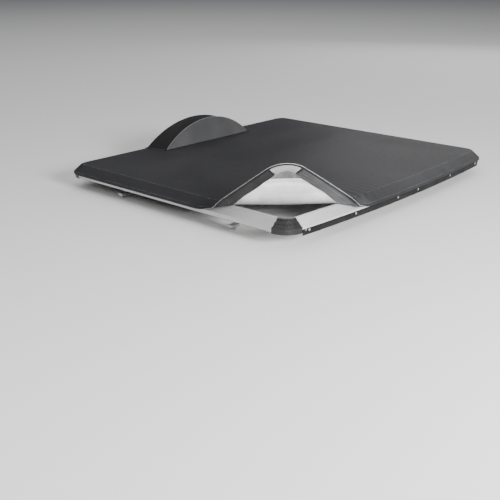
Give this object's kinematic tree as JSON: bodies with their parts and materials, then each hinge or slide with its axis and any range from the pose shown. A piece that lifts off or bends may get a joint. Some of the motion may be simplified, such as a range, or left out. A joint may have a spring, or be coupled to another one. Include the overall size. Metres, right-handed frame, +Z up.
{
  "type": "tonneau cover",
  "caption": "Soft vinyl tonneau cover for a small pickup bed: aluminium rail frame with moulded corners, folding panels, a spare-wheel hump and a corner that turns back.",
  "frame": {"origin": "middle of the rail frame in the plane where the foam seals sit on the bed", "axes": "+X to the vehicle's right, +Y towards the cab, +Z up"},
  "size_m": [1.4229, 1.2399, 0.2731],
  "materials": {
    "rail_aluminium": "extruded, satin, with fine drawn lines",
    "joiner_plastic": "moulded black plastic, ribbed, worn lip",
    "foam": "closed-cell foam tape",
    "seal_rubber": "matt black rubber blade",
    "cover_vinyl": "black grained vinyl-coated cloth, light grey backing",
    "strip_plastic": "ribbed black strip, sewn",
    "sleeve_fabric": "black woven tape",
    "bow_aluminium": "drawn flat-oval tube",
    "fitting_plastic": "moulded black nylon",
    "hoop_steel": "black-coated spring rod",
    "plated_steel": "zinc-plated",
    "clamp_aluminium": "cut extrusion",
    "steel_fixing": "bright pan and rivet heads"
  },
  "bodies": {
    "root": {"clamp_bracket_left_front": "clamp_aluminium", "clamp_bracket_left_rear": "clamp_aluminium", "clamp_bracket_right_front": "clamp_aluminium", "clamp_bracket_right_rear": "clamp_aluminium", "clamp_bracket_rivets": "steel_fixing", "corner_joiner_front_left": "joiner_plastic", "corner_joiner_front_right": "joiner_plastic", "corner_joiner_rear_left": "joiner_plastic", "corner_joiner_rear_right": "joiner_plastic", "corner_screws": "steel_fixing", "foam_seal_front": "foam", "foam_seal_left": "foam", "foam_seal_rear": "foam", "foam_seal_right": "foam", "front_bow": "bow_aluminium", "front_bow_end_caps": "fitting_plastic", "front_bow_saddles": "fitting_plastic", "front_bow_sleeve": "sleeve_fabric", "front_edge_strips": "strip_plastic", "front_panel": "cover_vinyl", "hump_arch_panel": "cover_vinyl", "hump_front_hoop": "hoop_steel", "hump_front_panel": "cover_vinyl", "hump_rear_hoop": "hoop_steel", "hump_rear_panel": "cover_vinyl", "rail_front": "rail_aluminium", "rail_left": "rail_aluminium", "rail_rear": "rail_aluminium", "rail_right": "rail_aluminium", "rear_bow_saddles": "fitting_plastic", "tailgate_seal": "seal_rubber", "tailgate_seal_rivets": "steel_fixing"},
    "cover_middle": {"middle_panel": "cover_vinyl", "middle_edge_strips": "strip_plastic", "rear_bow": "bow_aluminium", "rear_bow_end_caps": "fitting_plastic", "rear_bow_sleeve": "sleeve_fabric"},
    "cover_rear": {"rear_panel": "cover_vinyl", "rear_left_strip": "strip_plastic", "rear_right_strip": "strip_plastic", "rear_edge_strip": "strip_plastic", "rear_right_corner_strip": "strip_plastic"},
    "cover_corner": {"corner_flap": "cover_vinyl", "flap_left_strip": "strip_plastic", "flap_rear_strip": "strip_plastic", "flap_corner_strip": "strip_plastic"},
    "clamp_bolt_left_rear": {"clamp_bolt_left_rear": "plated_steel"},
    "clamp_jaw_left_rear": {"clamp_jaw_left_rear": "clamp_aluminium", "clamp_nut_left_rear": "plated_steel"},
    "clamp_bolt_left_front": {"clamp_bolt_left_front": "plated_steel"},
    "clamp_jaw_left_front": {"clamp_jaw_left_front": "clamp_aluminium", "clamp_nut_left_front": "plated_steel"},
    "clamp_bolt_right_rear": {"clamp_bolt_right_rear": "plated_steel"},
    "clamp_jaw_right_rear": {"clamp_jaw_right_rear": "clamp_aluminium", "clamp_nut_right_rear": "plated_steel"},
    "clamp_bolt_right_front": {"clamp_bolt_right_front": "plated_steel"},
    "clamp_jaw_right_front": {"clamp_jaw_right_front": "clamp_aluminium", "clamp_nut_right_front": "plated_steel"}
  },
  "joints": [
    {"name": "middle_fold", "type": "hinge", "parent": "root", "child": "cover_middle", "pos_m": [0, 0.22, 0.0522], "axis": [-1, 0, 0], "range_deg": [0, 70]},
    {"name": "rear_fold", "type": "hinge", "parent": "cover_middle", "child": "cover_rear", "pos_m": [0, -0.12, 0.0522], "axis": [-1, 0, 0], "range_deg": [0, 90]},
    {"name": "corner_fold", "type": "hinge", "parent": "cover_rear", "child": "cover_corner", "pos_m": [-0.4925, -0.4925, 0.0522], "axis": [-0.7071, 0.7071, 0], "range_deg": [-58, 90]},
    {"name": "bolt_turn_left_rear", "type": "hinge", "parent": "root", "child": "clamp_bolt_left_rear", "pos_m": [-0.64, -0.3, 0], "axis": [0, 0, 1], "range_deg": [0, 1440]},
    {"name": "jaw_travel_left_rear", "type": "slide", "parent": "root", "child": "clamp_jaw_left_rear", "axis": [0, 0, -1], "range_m": [0, 0.005]},
    {"name": "bolt_turn_left_front", "type": "hinge", "parent": "root", "child": "clamp_bolt_left_front", "pos_m": [-0.64, 0.3, 0], "axis": [0, 0, 1], "range_deg": [0, 1440]},
    {"name": "jaw_travel_left_front", "type": "slide", "parent": "root", "child": "clamp_jaw_left_front", "axis": [0, 0, -1], "range_m": [0, 0.005]},
    {"name": "bolt_turn_right_rear", "type": "hinge", "parent": "root", "child": "clamp_bolt_right_rear", "pos_m": [0.64, -0.3, 0], "axis": [0, 0, 1], "range_deg": [0, 1440]},
    {"name": "jaw_travel_right_rear", "type": "slide", "parent": "root", "child": "clamp_jaw_right_rear", "axis": [0, 0, -1], "range_m": [0, 0.005]},
    {"name": "bolt_turn_right_front", "type": "hinge", "parent": "root", "child": "clamp_bolt_right_front", "pos_m": [0.64, 0.3, 0], "axis": [0, 0, 1], "range_deg": [0, 1440]},
    {"name": "jaw_travel_right_front", "type": "slide", "parent": "root", "child": "clamp_jaw_right_front", "axis": [0, 0, -1], "range_m": [0, 0.005]}
  ],
  "couplings": [
    {"joint": "bolt_turn_left_rear", "follows": "jaw_travel_left_rear", "rad_per_m": 5026.5},
    {"joint": "bolt_turn_left_front", "follows": "jaw_travel_left_front", "rad_per_m": 5026.5},
    {"joint": "bolt_turn_right_rear", "follows": "jaw_travel_right_rear", "rad_per_m": 5026.5},
    {"joint": "bolt_turn_right_front", "follows": "jaw_travel_right_front", "rad_per_m": 5026.5}
  ]
}
